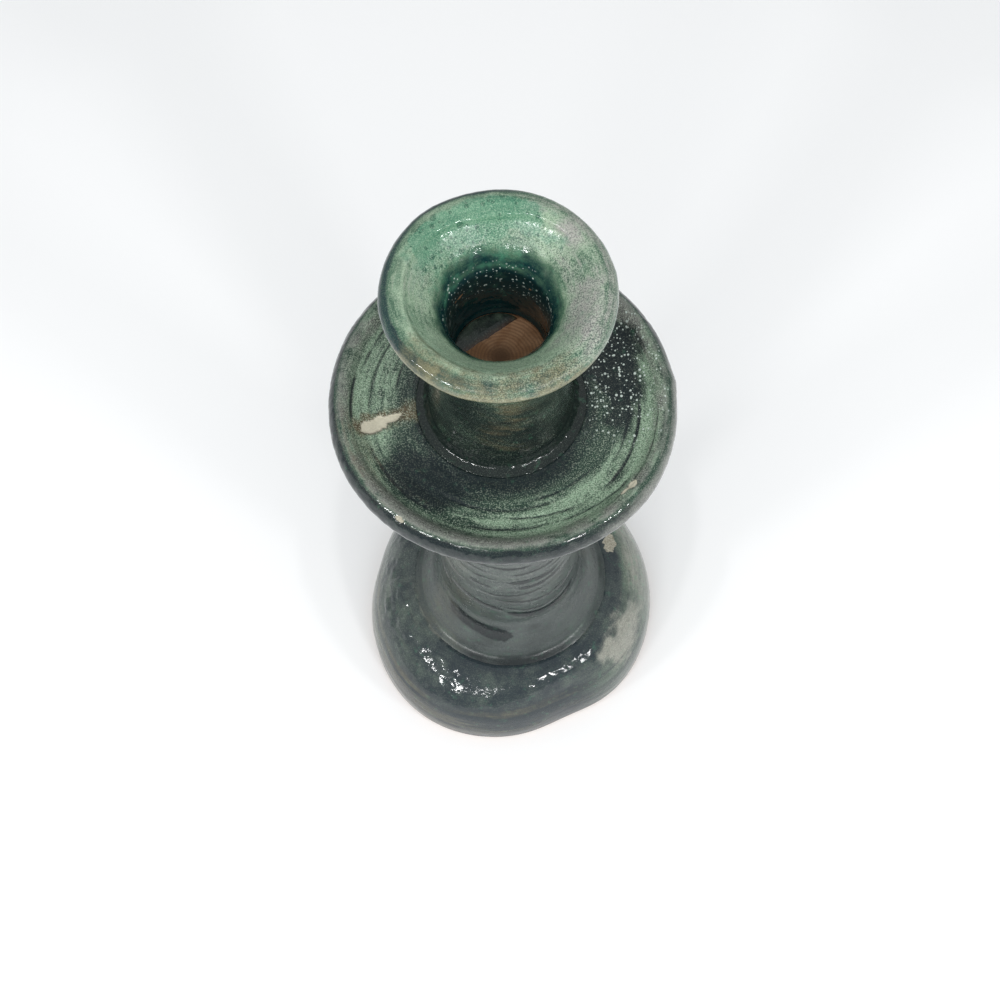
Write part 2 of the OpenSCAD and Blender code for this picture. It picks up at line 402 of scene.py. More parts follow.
class Coat:
    """The face of a coat of glaze as a fine grid, which its own section paints and carves.

    s is the distance along the face from its landmark, r and z the turned shape's radius and height,
    angle the direction round the axis, and at the place of each point. ring is the place the point
    would have on a cylinder, for noise drawn out round the axis. lift is how far the face stands off
    where it was turned, and masks say where each colour of the glaze lies.
    """

    def __init__(self, node, extra=None):
        self.node = node
        face, back = FACES[node]
        if extra is not None:
            face = np.concatenate([face, extra])
            back = np.concatenate([extra[::-1] + [GLAZE * 0.6, 0], back])
        spacing = math.sqrt(length_of(face) * 2 * math.pi * face[:, 0].max() / QUADS)
        self.face = fair(face, spacing)
        self.back = fair(back, 3)
        self.columns = int(2 * math.pi * face[:, 0].max() / spacing)
        self.r, self.z = self.face[:, :1], self.face[:, 1:]
        walked = np.hypot(*np.diff(self.face, axis=0).T)
        self.s = np.concatenate([[0], np.cumsum(walked)])[:, None]
        self.angle = angles(self.columns)[None, :]
        self.at = thrown(self.r, self.z, self.angle)
        self.lift = np.zeros(self.at.shape[:2])
        self.masks = {m: np.zeros(self.lift.shape) for m in MASKS}
        self.ring = np.stack(np.broadcast_arrays(np.cos(self.angle) * RING_REACH,
                                                 np.sin(self.angle) * RING_REACH, self.s), axis=-1)

    def landmark(self, row):
        """Counts distance along the face from this row."""
        self.s = self.s - self.s[row]

    def drawn(self, seed, pitch, length=1.0):
        """Noise drawn out round the axis, as throwing leaves it, with about this pitch in mm."""
        return layers(self.ring * [1 / length, 1 / length, 1 / pitch], seed)

    def patch(self, name, where, amount=1.0):
        self.masks[name] = np.clip(self.masks[name] + amount * where, 0, 1)

    def blot(self, direction, s, wide, tall, seed, rough=0.5, size=2.0, lean=0, soft=0.15):
        """An irregular patch of the face, this wide round the axis and this tall along the face."""
        x = np.radians(off(self.angle, direction)) * self.r
        y = self.s - s
        cos, sin = math.cos(math.radians(lean)), math.sin(math.radians(lean))
        edge = np.hypot((x * cos + y * sin) * 2 / wide, (y * cos - x * sin) * 2 / tall)
        return step(1 + soft, 1 - soft, edge + rough * layers(self.at / size, seed, 4))

    def line(self, value, start, end, first, last, width, seed, bow=0.0, wander=0.6):
        """A fine line from one direction to another, where a value runs from first to last."""
        middle, half = (start + end) / 2, (end - start) / 2
        x = off(self.angle, middle) / half
        level = first + (last - first) * (x + 1) / 2 + bow * (1 - x ** 2)
        level = level + wander * layers(self.at / 7, seed, 4)
        taper = step(1.05, 0.6, np.abs(x) + 0.3 * layers(self.at / 5, seed + 1))
        return hump(value, level, width * (0.45 + 0.55 * taper)) * taper

    def piece(self, material):
        deepest = GLAZE * 0.85
        lift = np.clip(self.lift, -deepest, HIGHEST_LIFT)
        fade = step(0, 0.3, self.face_distance_to_ends())
        out = outward_of(self.face)
        push = lift * fade
        face = thrown(self.r + push * out[:, :1], self.z + push * out[:, 1:], self.angle)
        back = thrown(self.back[:, :1], self.back[:, 1:], self.angle)
        grid = np.concatenate([face, back])
        masks = {}
        for name, values in self.masks.items():
            behind = np.repeat(values[-1:], len(back), axis=0)
            masks[name] = np.concatenate([values, behind])
        masks["ring"] = np.concatenate([self.ring, np.repeat(self.ring[-1:], len(back), axis=0)])
        mesh = make_mesh("fired_" + self.node, grid, False, False, True, masks)
        return finish_piece(self.node, mesh, material)

    def face_distance_to_ends(self):
        walked = self.s - self.s[0]
        return np.minimum(walked, walked[-1] - walked)


def foot_coat():
    c = Coat("foot_glaze")
    c.landmark(-1)
    rough = layers(c.at / 7, 10)
    edge = -18 - 4.5 * around(c.angle, -118, 16) + 2.0 * rough
    shoulder = step(edge - 3.5, edge + 2.5, c.s)
    c.lift += 0.12 * layers(c.at / 8, 11) + 0.14 * c.drawn(13, 5, 2) + 0.12 * shoulder
    c.lift += shoulder * (0.15 * layers(c.at / 2.6, 12, 2) + 0.05 * layers(c.at / 1.3, 17, 1))
    c.lift += 0.36 * around(c.angle, -172, 30) * shoulder * step(-0.2, 0.9, layers(c.at / 3, 4, 1))
    c.lift += 2.2 * step(-3.6, -0.6, c.s)
    c.patch("pool", 0.25 + shoulder * (0.42 + 0.3 * rough + 0.3 * layers(c.at / 3, 9)))
    # Pale lines painted along the ridge where the foot meets the stem, on the left and on the right:
    # painted highlights.
    ridge_glint = c.line(c.s, -178, -112, -1.4, -1.4, 0.5, 7) + c.line(c.s, -64, -24, -1.4, -1.4, 0.6, 5)
    c.patch("ash_and_glint", ridge_glint, 0.7)
    # A darker band at the front where the foot meets the stem: painted shade, in place of the groove that
    # the lift above fills.
    c.patch("pool", step(-3.5, -0.5, c.s) * sector(c.angle, -125, -60, 12), 0.4)
    c.patch("mint_and_glint", 0.34 + 0.40 * layers(c.at / 8, 14, 4) + (0.85 - 0.5 * shoulder) * c.drawn(19, 2.0, 3))
    green = sector(c.angle, -58, 60, 14)
    c.patch("mint_and_glint", green * band(c.s, -34, -9, 4), 0.40)
    c.patch("mint_and_glint", sector(c.angle, -14, 70, 10) * step(-4, -9, c.s) * (0.6 + 0.4 * rough), 0.6)
    c.patch("pool", sector(c.angle, -150, -55, 15) * (1 - shoulder), 0.68)
    c.patch("pool", sector(c.angle, 150, 225, 15) * shoulder, -0.25)
    c.patch("copper", green * band(c.s, -26, -8, 4) * (0.5 + 0.5 * rough), 0.3)
    c.patch("ash_and_glint", around(c.angle, -176, 24) * (1 - 0.6 * shoulder) * (0.5 + 0.5 * c.drawn(8, 3, 3)), 0.8)
    c.patch("rust", around(c.angle, -130, 75) * (1 - shoulder) * (0.25 + 0.7 * c.drawn(20, 2.5, 3)))
    bare = np.maximum(c.blot(-28, -17.0, 19, 15, 15, 0.6, 5, 20, 0.9),
                      c.blot(-39, -13.5, 9, 8, 15, 0.6, 3, 0, 0.9))
    c.patch("ash_and_glint", bare, 1.1)
    c.patch("pool", -bare)
    c.patch("mint_and_glint", -bare, 0.7)
    c.patch("copper", -bare)
    c.patch("grit", 0.25 + 0.2 * bare)
    c.patch("ash_and_glint", sector(c.angle, -10, 70, 12) * band(c.s, -34, -9, 3) * (0.5 + 0.4 * rough))
    c.patch("pool", sector(c.angle, -8, 70, 12) * step(-5, -10, c.s), -0.9)
    c.lift -= 0.2 * bare
    pink = c.blot(17, -5.2, 8.5, 5, 16, 0.5, 2, -25)
    c.patch("bare", pink, 0.6)
    c.lift -= 0.4 * pink
    return c


def stem_coat():
    c = Coat("stem_glaze")
    height = c.z - SEAT_Z
    c.lift += 0.06 * c.drawn(21, 5, 3) + 0.10 * c.drawn(22, 12, 2) * band(height, 16, 132, 8)
    c.lift += 0.07 * layers(c.at / 6, 23) + 0.02 * layers(c.at / 1.4, 24)
    c.lift += 0.07 * c.drawn(18, 1.5, 2) * step(SEAT_Z + 20, SEAT_Z + 45, c.z)
    c.lift += 1.6 * step(SEAT_Z + 6, SEAT_Z + 2.5, c.z)
    tears = [(-150, -86, 48.0, 43.6, 0.6, 2.7), (-150, -95, 69.5, 63.5, 0.5, 1.0),
             (-102, -22, 63.4, 58.5, -4.0, 1.8), (-96, -30, 66.6, 62.5, -3.5, 0.55),
             (-106, -15, 74, 70, -3, 0.45), (-140, -98, 92.5, 91.5, 0, 0.5),
             (-98, -38, 90, 88.5, -1, 1.1), (-130, -104, 84.5, 84, 0, 0.6),
             (-86, -36, 84, 85.5, -1.2, 1.0), (-122, -60, 79, 78, -1, 0.4),
             (-92, -30, 97, 99, -1.5, 0.6), (-150, -110, 100, 97, 0, 0.4),
             (-128, -70, 104, 103, -1, 0.5), (-60, -10, 93, 95, -1, 0.5),
             (30, 95, 96, 101, 0, 0.6), (70, 150, 72, 66, -2, 0.7), (110, 200, 121, 118, 0, 0.5),
             (-5, 60, 110, 106, 1, 0.4), (-80, -10, 131, 134, 0, 0.4), (150, 215, 61, 64, 1, 0.6),
             (50, 130, 141, 138, 0, 0.4), (-170, -90, 124, 119, 1, 0.4), (170, 250, 146, 149, 0, 0.4),
             (100, 160, 92, 94, 1, 0.4), (160, 230, 82, 80, 0, 0.5), (20, 70, 58, 61, 1, 0.5)]
    torn = np.zeros(c.lift.shape)
    for number, (start, end, first, last, bow, width) in enumerate(tears):
        torn = np.maximum(torn, c.line(c.z, start, end, first, last, width, 200 + number, bow))
    c.lift -= 0.42 * torn
    c.patch("pool", step(0.15, 0.5, torn), 1.5)
    # A darker band at the front of the stem's lowest part, where it meets the foot: painted shade of the
    # filled groove.
    c.patch("pool", step(SEAT_Z + 7, SEAT_Z + 4, c.z) * sector(c.angle, -125, -60, 12), 0.45)
    c.patch("pool", 0.20 + 0.4 * layers(c.at / 9, 28) + 0.35 * c.drawn(6, 4, 3))
    c.patch("mint_and_glint", 0.25 + 0.30 * layers(c.at / 12, 26) + 0.30 * c.drawn(29, 2, 3))
    c.patch("ash_and_glint", 0.08 + 0.12 * step(55, 92, c.z) + 0.35 * c.drawn(27, 2.5, 4))
    c.patch("rust", 0.35 * around(c.angle, -150, 30) + 0.35 * layers(c.at / 9, 30))
    runs = layers(c.ring * [1.2, 1.2, 0.04], 88) * step(105, 125, c.z)
    c.patch("mint_and_glint", 0.7 * runs)
    c.patch("pool", -0.5 * runs)
    c.patch("grit", 0.3 * step(55, 90, c.z) + 0.1)
    return c


def pan_coat():
    c = Coat("pan_glaze")
    c.landmark(int(np.argmax(c.face[:, 1] + (c.face[:, 0] > PAN_R * 0.85) * 10)))
    inner = step(0, 2, c.s)
    floor = step(4.0, 6.5, c.s)
    fillet = step(30.5, 25.5, c.r) * inner
    c.lift += floor * (1 - fillet) * (0.12 * c.drawn(31, 2.2, 2.5) + 0.07 * c.drawn(32, 1.1, 2))
    c.lift += 0.08 * layers(c.at / 6, 33) + 0.04 * layers(c.at / 1.5, 34)
    c.lift += (fillet + 0.6 * (1 - floor)) * 0.16 * layers(c.at / 1.5, 44, 2)
    grooves = [(-96, -50, 38.0, 41.3, 0.4, 0.6), (-52, -2, 41.4, 41.5, 0.45, 0.8),
               (-108, -68, 41.9, 42.3, 0.4, 0.7), (-72, -36, 42.4, 44.9, 0.4, 0.6),
               (-128, -60, 35.5, 36.5, 0.45, 0.4), (-85, -20, 34.0, 35.5, 0.4, 0.4),
               (-165, -120, 42.0, 41.5, 0.4, 0.5), (166, 190, 45.2, 45.6, 0.4, 0.8),
               (-60, -5, 46.4, 46.6, 0.35, 0.5), (-40, 5, 38.5, 38.0, 0.4, 0.4),
               (60, 170, 43.0, 43.6, 0.45, 0.7), (95, 190, 38.5, 40.0, 0.45, 0.6),
               (20, 100, 35.0, 36.5, 0.4, 0.5), (110, 175, 33.0, 32.0, 0.4, 0.5)]
    for number, (start, end, first, last, width, depth) in enumerate(grooves):
        groove = c.line(c.r, start, end, first, last, width, 300 + number, 0, 0.35) * inner
        c.lift -= 0.5 * depth * groove
        c.patch("pool", groove, depth + 0.2)
    streak = c.drawn(36, 1.5, 2.5)
    c.patch("mint_and_glint", floor * (0.42 + 0.55 * streak + 0.3 * layers(c.at / 8, 35)))
    c.patch("mint_and_glint", sector(c.angle, -100, -14, 12) * band(c.r, 37, 47.5, 1.5) * inner, 0.32)
    c.patch("mint_and_glint", sector(c.angle, -78, -22, 10) * band(c.r, 43.5, 47.5, 1) * inner, 0.22)
    c.patch("mint_and_glint", floor * sector(c.angle, -130, -20, 14) * step(39, 32, c.r), -0.35)
    c.patch("pool", floor * sector(c.angle, -125, -45, 14) * step(39, 32, c.r), 0.38)
    puddles = np.maximum(c.blot(-135, 16.0, 27, 16, 37, 0.5, 7, 0, 0.5),
                         c.blot(24, 15, 50, 20, 38, 0.6, 9, 0, 0.4))
    dark = np.maximum(puddles, np.maximum(0.65 * step(34, 27.5, c.r) * inner, 0.85 * fillet))
    c.patch("pool", dark, 0.95)
    c.patch("mint_and_glint", -dark, 0.6)
    c.patch("mint_and_glint", sector(c.angle, 140, 210, 14) * step(33, 37, c.r) * inner, 0.25)
    c.patch("mint_and_glint", sector(c.angle, -24, 40, 10) * step(38, 42, c.r) * inner, 0.5)
    c.patch("ash_and_glint", sector(c.angle, 18, 80, 12) * step(32, 36, c.r) * inner * (0.45 + 0.3 * streak))
    c.patch("ash_and_glint", sector(c.angle, -75, 60, 15) * step(-2, -5, c.s), 0.5)
    c.patch("fleck", sector(c.angle, -22, 75, 12) * step(-3, 1, c.s) * (0.8 + 0.8 * layers(c.at / 7, 59)))
    c.patch("fleck", sector(c.angle, -150, 170, 30) * floor, 0.12)
    crest = step(-2, 0, c.s) * step(6.5, 2.5, c.s + 1.5 * layers(c.at / 6, 42))
    c.patch("ash_and_glint", crest * (0.5 + 0.5 * layers(c.at / 5, 39)))
    c.patch("mint_and_glint", crest * (0.35 + 0.4 * layers(c.at / 5, 43)))
    c.patch("ash_and_glint", sector(c.angle, -150, -75, 12) * band(c.r, 44, 49, 1.5), 0.3)
    outer = step(-0.8, -2.4, c.s + 0.4 * layers(c.at / 5, 45))
    worn = 0.8 * sector(c.angle, -52, 12, 14) * step(-11, -6, c.s)
    c.patch("pool", outer * (0.9 - worn + 0.35 * layers(c.at / 5, 53)))
    c.patch("ash_and_glint", outer * (0.4 + 0.3 * layers(c.at / 6, 54)))
    c.patch("mint_and_glint", -outer, 0.4)
    c.patch("grit", 0.9 * inner + 0.35 - 0.4 * fillet)
    smear = np.maximum(c.blot(-174, 21.5, 7, 14, 46, 0.7, 4, 12, 0.8),
                       c.blot(-171, 12, 6.5, 13, 47, 0.5, 3, 8, 0.5))
    c.patch("rust", smear * (0.75 + 0.4 * layers(c.at / 2, 56)))
    c.patch("rust", sector(c.angle, -180, -140, 15) * band(c.r, 41, 50, 2), 0.3)
    c.patch("pool", -smear, 0.6)
    chip = np.maximum(c.blot(-169.8, 12.0, 5.2, 9.0, 40, 0.45, 2.2, 10, 0.08),
                      c.blot(-172.5, 17.2, 2.8, 7.5, 48, 0.4, 2.2, 10, 0.08))
    nick = np.maximum(c.blot(-40, 2.2, 3.4, 3.0, 41, 0.3, 1.5, 0, 0.08),
                      c.blot(-43.5, 3.0, 2.8, 1.7, 49, 0.3, 1.5, 0, 0.08))
    spot = c.blot(-128, -1.6, 3, 1.6, 50, 0.4, 1.5)
    for mark, depth, paleness in ((chip, 0.6, 0.76), (nick, 0.4, 1.0), (spot, 0.3, 0.7)):
        c.patch("bare", mark, paleness)
        c.lift -= depth * mark
    crease = hump(c.z, PAN_Z + 4.0, 0.3) * step(26, 24, c.r) * sector(c.angle, -150, -80, 12)
    c.lift -= 0.2 * crease
    c.patch("rust", crease, 0.5)
    return c


def neck_coat():
    c = Coat("neck_glaze")
    c.lift += 0.16 * c.drawn(51, 4, 2) + 0.08 * layers(c.at / 4, 52) + 0.03 * layers(c.at / 1.4, 58)
    slanted = layers(c.ring * [1, 1, 0.25] + c.ring[..., 2:] * [0.3, 0, 0], 56)
    c.patch("pool", 0.68 + 0.45 * layers(c.at / 6, 53))
    c.patch("mint_and_glint", 0.24 + 0.75 * slanted + 0.3 * layers(c.at / 3, 54))
    c.patch("rust", around(c.angle, -84, 26) * band(c.z, 192, 226, 6) * (0.35 + 0.9 * slanted), 0.9)
    c.patch("ash_and_glint", around(c.angle, -55, 20) * 0.5 + 0.2 * layers(c.at / 7, 55))
    c.patch("pool", step(191, 187, c.z), 0.45)
    climb = step(218, THROAT_Z, c.z + 5 * layers(c.at / 6, 57))
    c.patch("pool", -climb, 0.5)
    c.patch("mint_and_glint", climb, 0.3)
    c.lift += 0.14 * layers(c.at / 1.5, 44, 2) * step(190, 187, c.z)
    c.patch("grit", 0.5)
    return c


def cup_coat():
    wall, floor = BORE_R - 0.25, FLOOR_Z + 2
    bore = np.array([[BORE_R - 0.1, THROAT_Z - 3], [wall, THROAT_Z - 8], [wall, THROAT_Z - 13],
                     [wall, floor + 2.2], [wall - 0.6, floor + 0.5]])
    c = Coat("cup_glaze", bore)
    c.landmark(int(c.face[:, 1].argmax()))
    inside = step(-2.5, 0.5, c.s)
    c.lift += 0.12 * c.drawn(61, 5, 1.5) + 0.09 * layers(c.at / 4, 62) + 0.05 * layers(c.at / 1.5, 63)
    crest = 2.0 + 3.0 * around(c.angle, 100, 45)
    wavy = c.s + 0.7 * layers(c.at / 7, 60)
    c.lift += 0.5 * hump(wavy, crest - 0.6, 1.2) * sector(c.angle, 45, 250, 25)
    c.lift -= 0.2 * hump(wavy, crest - 2.8, 1.0) * sector(c.angle, 45, 250, 25)
    cloud = layers(c.at / 7, 64, 4)
    # A pale line painted along the inner crest on the left and at the back: a painted highlight.
    c.patch("mint_and_glint", c.line(c.s, 125, 245, 1.6, 1.6, 0.3, 57, 0, 1.2), 0.7)
    c.patch("mint_and_glint", inside * (0.55 + 0.5 * cloud))
    c.patch("mint_and_glint", inside * sector(c.angle, -100, -30, 20) + inside * sector(c.angle, 20, 60, 15), 0.15)
    c.patch("mint_and_glint", inside * sector(c.angle, 150, 215, 20), 0.08)
    c.patch("mint_and_glint", (1 - inside) * (0.30 + 0.3 * layers(c.at / 6, 65)))
    ragged = c.s + 2.2 * layers(c.at / 5, 66, 4) + 1.2 * around(c.angle, 130, 35)
    deep = step(10.5, 20.5, ragged) * (0.95 + 0.25 * layers(c.at / 4, 77))
    ledge = hump(ragged, 19.5, 1.6) * sector(c.angle, 20, 180, 30)
    c.patch("pool", deep * (1.1 - 0.45 * ledge))
    c.patch("copper", ledge * 0.3)
    c.patch("mint_and_glint", -deep)
    c.patch("fleck", step(16, 21, ragged) * step(34, 28, ragged) * (1.1 + 0.6 * layers(c.at / 5, 76)))
    emerald = np.maximum(c.blot(100, 4.5, 34, 9, 68, 0.7, 5, 0, 0.4), c.blot(140, 2.5, 12, 5, 69, 0.6, 4))
    c.patch("copper", emerald, 1.2)
    c.patch("copper", inside * sector(c.angle, 60, 165, 22) * (0.42 + 0.6 * cloud) * (1 - deep))
    c.patch("copper", inside * 0.12 * (1 - deep))
    grey = (sector(c.angle, -48, 38, 20) * band(c.s, -2, 12, 3)
            + 0.8 * sector(c.angle, 38, 75, 10) * band(c.s, -2, 4, 2))
    c.patch("ash_and_glint", np.clip(grey, 0, 1) * (0.6 + 0.9 * layers(c.at / 8, 70, 4)))
    c.patch("ash_and_glint", inside * around(c.angle, 165, 28) * band(c.s, 1, 12, 3), 0.35)
    c.patch("ash_and_glint", step(-1, -2.5, c.s), 0.15)
    olive = sector(c.angle, -148, -48, 14) * band(c.s, -9, 3, 1.5)
    c.patch("rust", olive * (0.55 + 0.5 * layers(c.at / 3, 67)))
    c.patch("pool", olive * step(2, -2, c.s) * (0.55 + 0.4 * layers(c.at / 4, 74)))
    c.patch("mint_and_glint", sector(c.angle, -150, -40, 18) * band(c.s, 2, 13, 2), 0.5)
    runny = c.s + 1.6 * layers(c.at / 4, 73, 4)
    c.patch("rust", hump(runny, -7.5, 1.3) * sector(c.angle, -160, -40, 14), 0.9)
    c.patch("pool", step(-7, -16, runny), 0.5)
    c.patch("mint_and_glint", -step(-7, -14, runny), 0.3)
    outer = step(-1.6, -3.0, c.s + 0.5 * layers(c.at / 4, 75)) * sector(c.angle, 75, 225, 20)
    c.patch("pool", outer * 0.75)
    c.patch("ash_and_glint", step(-1, -3, c.s) * sector(c.angle, -50, 60, 15), 0.25)
    c.patch("grit", sector(c.angle, -105, -30, 12) * band(c.s, -9, 4, 2), 0.4)
    c.patch("grit", 0.42 + 0.4 * band(c.s, 6.5, 13, 1.5) - 0.5 * deep
            + 0.4 * around(c.angle, -20, 70) * band(c.s, -4, 12, 2))
    return c


# ---------------------------------------------------------------- materials

def srgb(r, g, b):
    """A colour as it looks, 0 to 255 a channel, as the light it gives back."""
    return tuple(((c / 255 + 0.055) / 1.055) ** 2.4 if c > 10 else c / 255 / 12.92
                 for c in (r, g, b)) + (1,)


class Recipe:
    """Builds a material's nodes: each method adds one and gives its output."""

    def __init__(self, name):
        self.material = bpy.data.materials.new(name)
        self.material.use_nodes = True
        self.tree = self.material.node_tree
        self.shader = self.tree.nodes["Principled BSDF"]
        self.place = self.node("ShaderNodeTexCoord").outputs["Object"]

    def node(self, kind, inputs=None, **settings):
        made = self.tree.nodes.new(kind)
        for key, value in settings.items():
            setattr(made, key, value)
        for key, value in (inputs or {}).items():
            self.put(value, made.inputs[key])
        return made

    def put(self, value, socket):
        if isinstance(value, bpy.types.NodeSocket):
            self.tree.links.new(value, socket)
        else:
            socket.default_value = value

    def mask(self, name):
        return self.node("ShaderNodeAttribute", attribute_name=name).outputs["Fac"]

    def vector(self, name):
        return self.node("ShaderNodeAttribute", attribute_name=name).outputs["Vector"]

    def math(self, operation, a, b=0.0):
        return self.node("ShaderNodeMath", {0: a, 1: b}, operation=operation).outputs[0]

    def noise(self, size_mm, detail=2.0, where=None, rough=0.5):
        """Noise from 0 to 1 with features of about this size."""
        scale = 1 / size_mm if where is not None else 1 / (size_mm * MM)
        inputs = {"Vector": where or self.place, "Scale": scale, "Detail": detail, "Roughness": rough}
        return self.node("ShaderNodeTexNoise", inputs).outputs["Fac"]

    def between(self, value, low, high):
        inputs = {"Value": value, "From Min": low, "From Max": high}
        return self.node("ShaderNodeMapRange", inputs, interpolation_type="SMOOTHSTEP").outputs[0]

    def mix(self, share, a, b):
        inputs = {"Factor": share, 6: a, 7: b}
        return self.node("ShaderNodeMix", inputs, data_type="RGBA").outputs[2]

    def broken(self, mask, noise, spread, soft=0.12):
        """A mask with its edges broken up by noise."""
        level = self.math("ADD", mask, self.math("MULTIPLY", self.math("SUBTRACT", noise, 0.5), spread))
        return self.between(level, 0.5 - soft, 0.5 + soft)

    def spots(self, size_mm, radius, seed=0.0):
        """Round spots, 0 to 1, one here and there in cells of this size."""
        inputs = {"Vector": self.place, "Scale": 1 / (size_mm * MM), "Randomness": 1.0}
        cells = self.node("ShaderNodeTexVoronoi", inputs)
        pick = self.node("ShaderNodeSeparateColor", {"Color": cells.outputs["Color"]}).outputs[0]
        size = self.math("MULTIPLY", self.math("SUBTRACT", pick, seed), radius)
        return self.between(self.math("SUBTRACT", size, cells.outputs["Distance"]), 0.0, 0.06)

    def bump(self, height, strength, depth_mm, under=None):
        inputs = {"Height": height, "Strength": strength, "Distance": depth_mm * MM}
        if under is not None:
            inputs["Normal"] = under
        return self.node("ShaderNodeBump", inputs).outputs["Normal"]


def glaze_material(name, body, deep, mint_and_glint, ash_and_glint, rust=(98, 86, 62), shine=0.05):
    """Copper glaze: a body colour, dark where it pooled and where shade is painted, minty where it is
    opaque, grey where worn, and pale where highlights are painted.
    """
    m = Recipe(name)
    grain = m.noise(0.45, 2, rough=0.65)
    blotch = m.noise(2.6, 4)
    streak = m.noise(1.0, 3, m.vector("ring"))
    uneven = m.math("ADD", m.math("MULTIPLY", grain, 0.30),
                    m.math("ADD", m.math("MULTIPLY", streak, 0.40), m.math("MULTIPLY", blotch, 0.30)))
    colour = m.mix(m.broken(m.mask("mint_and_glint"), uneven, 2.6, 0.42), srgb(*body), srgb(*mint_and_glint))
    ash_share = m.broken(m.mask("ash_and_glint"), uneven, 2.2, 0.42)
    colour = m.mix(ash_share, colour, srgb(*ash_and_glint))
    colour = m.mix(m.broken(m.mask("pool"), uneven, 1.8, 0.42), colour, srgb(*deep))
    colour = m.mix(m.broken(m.mask("rust"), uneven, 1.8, 0.45), colour, srgb(*rust))
    cloud = m.broken(m.mask("copper"), blotch, 1.6, 0.4)
    colour = m.mix(m.math("MULTIPLY", cloud, 0.7), colour, srgb(74, 134, 106))
    clot = m.math("MULTIPLY", m.math("MAXIMUM", m.spots(2.4, 0.5, 0.1), m.spots(1.5, 0.5, 0.25)),
                  m.between(m.mask("copper"), 0.15, 0.6))
    colour = m.mix(m.math("MULTIPLY", clot, 0.65), colour, srgb(34, 84, 64))
    speck = m.noise(0.36, 1)
    dark = m.math("MULTIPLY", m.between(m.math("SUBTRACT", 1.0, speck), 0.51, 0.64), m.mask("grit"))
    clear = m.math("SUBTRACT", 1.0, m.math("MULTIPLY", m.mask("pool"), 0.85))
    pale = m.math("MULTIPLY", m.math("MULTIPLY", m.between(speck, 0.53, 0.66), m.mask("grit")), clear)
    colour = m.mix(m.math("MULTIPLY", dark, 0.65), colour, srgb(*deep))
    colour = m.mix(m.math("MULTIPLY", pale, 0.45), colour, srgb(204, 216, 196))
    dots = m.math("MAXIMUM", m.spots(0.9, 0.55, 0.3), m.math("MAXIMUM", m.spots(1.5, 0.5, 0.35),
                                                            m.spots(3.6, 0.36, 0.45)))
    white = m.math("MULTIPLY", dots, m.between(m.mask("fleck"), 0.1, 0.9))
    colour = m.mix(white, colour, srgb(196, 208, 200))
    chipped = m.between(m.mask("bare"), 0.3, 0.55)
    crumb = m.between(m.noise(0.6, 3), 0.35, 0.65)
    slip = m.mix(crumb, srgb(134, 130, 114), srgb(176, 172, 156))
    slip = m.mix(m.between(m.mask("bare"), 0.66, 0.82), slip, srgb(216, 210, 188))
    colour = m.mix(chipped, colour, slip)
    m.put(colour, m.shader.inputs["Base Color"])
    dull = m.math("ADD", m.math("MULTIPLY", ash_share, 0.05), m.math("MULTIPLY", chipped, 0.6))
    dull = m.math("ADD", dull, m.math("MULTIPLY", m.mask("fleck"), 0.35))
    dull = m.math("ADD", dull, m.math("MULTIPLY", m.between(m.mask("grit"), 0.4, 0.9), 0.25))
    m.put(m.math("ADD", m.math("ADD", dull, shine), m.math("MULTIPLY", blotch, 0.08)),
          m.shader.inputs["Roughness"])
    m.shader.inputs["IOR"].default_value = 1.5
    skin = m.bump(m.noise(1.3, 2), 1.0, 0.07)
    m.put(m.bump(grain, m.math("ADD", m.math("MULTIPLY", m.mask("grit"), 0.35), 0.08), 0.10, skin),
          m.shader.inputs["Normal"])
    return m.material


def clay_material(name, light, dark):
    """Bare fired clay: fine grains, darker rings where the wheel drew them, and painted shade towards the
    axis.
    """
    m = Recipe(name)
    shaded_middle, pitch = 6.0, 1.0
    fine = m.noise(0.5, 3)
    colour = m.mix(m.between(m.noise(4, 3), 0.35, 0.65), srgb(*light), srgb(*dark))
    flat = m.node("ShaderNodeVectorMath", {0: m.place, 1: (1, 1, 0)}, operation="MULTIPLY").outputs[0]
    far = m.node("ShaderNodeVectorMath", {0: flat}, operation="LENGTH").outputs["Value"]
    # Darker within a few mm of the axis: painted shade in the hollow middle of the socket floor.
    colour = m.mix(m.between(far, 1.0 * MM, shaded_middle * MM), srgb(*(c * 0.7 for c in dark)), colour)
    rings = {"Vector": m.place, "Scale": 0.31 / (pitch * MM), "Distortion": 2.5, "Detail": 3.0}
    wheel = m.node("ShaderNodeTexWave", rings, wave_type="RINGS", rings_direction="Z").outputs["Fac"]
    colour = m.mix(m.math("MULTIPLY", wheel, 0.45), colour, srgb(*(c * 0.66 for c in dark)))
    colour = m.mix(m.math("MULTIPLY", m.between(fine, 0.55, 0.75), 0.5), colour,
                   srgb(*(c * 0.62 for c in dark)))
    m.put(colour, m.shader.inputs["Base Color"])
    m.put(m.math("ADD", m.math("MULTIPLY", fine, 0.1), 0.82), m.shader.inputs["Roughness"])
    m.put(m.bump(fine, 0.5, 0.15), m.shader.inputs["Normal"])
    return m.material


# ---------------------------------------------------------------- clay and slip

